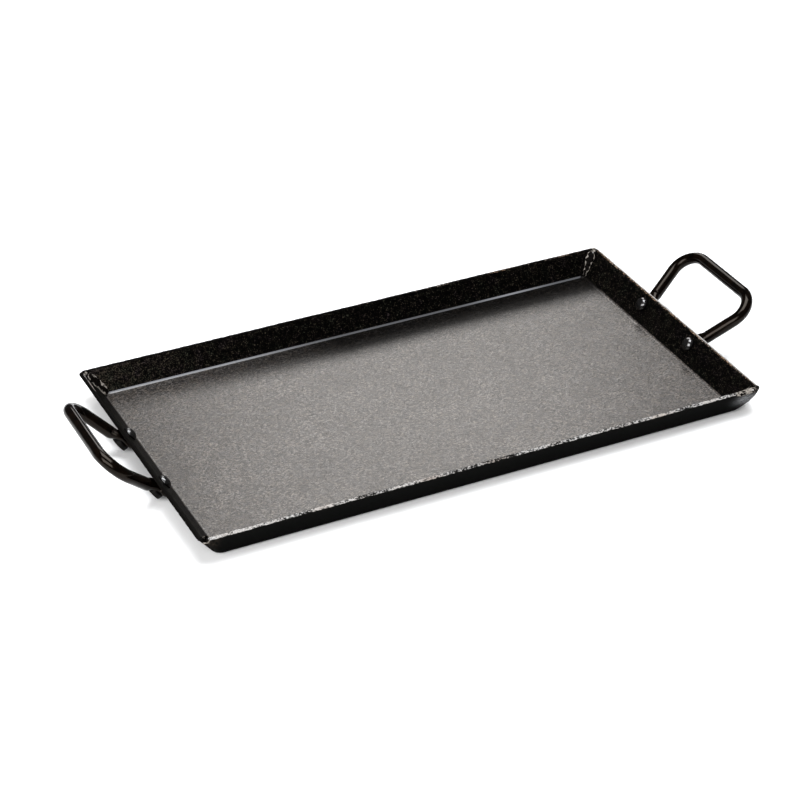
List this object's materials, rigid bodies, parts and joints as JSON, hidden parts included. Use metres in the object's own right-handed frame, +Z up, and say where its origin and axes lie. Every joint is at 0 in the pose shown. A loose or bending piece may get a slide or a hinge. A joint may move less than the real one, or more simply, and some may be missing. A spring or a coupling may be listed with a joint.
{
  "type": "flat top griddle",
  "caption": "Shallow rectangular carbon steel griddle pan with flared walls, welded corners and a riveted loop handle on each short end.",
  "frame": {"origin": "middle of the flat underside of the tray, on the surface it stands on", "axes": "+X along the tray to the right handle, +Y across the tray to its back, +Z up"},
  "size_m": [0.5449, 0.251, 0.0539],
  "materials": {
    "seasoned_steel": "satin, pre-seasoned",
    "weld": "rough weld bead, pre-seasoned",
    "handle_steel": "glossy, pre-seasoned",
    "rivet_steel": "glossy, pre-seasoned"
  },
  "bodies": {
    "root": {"griddle_pan": "seasoned_steel", "corner_weld_front_left": "weld", "corner_weld_front_right": "weld", "corner_weld_back_left": "weld", "corner_weld_back_right": "weld", "handle_left": "handle_steel", "handle_right": "handle_steel", "rivet_left_front": "rivet_steel", "rivet_left_back": "rivet_steel", "rivet_right_front": "rivet_steel", "rivet_right_back": "rivet_steel"}
  },
  "joints": []
}
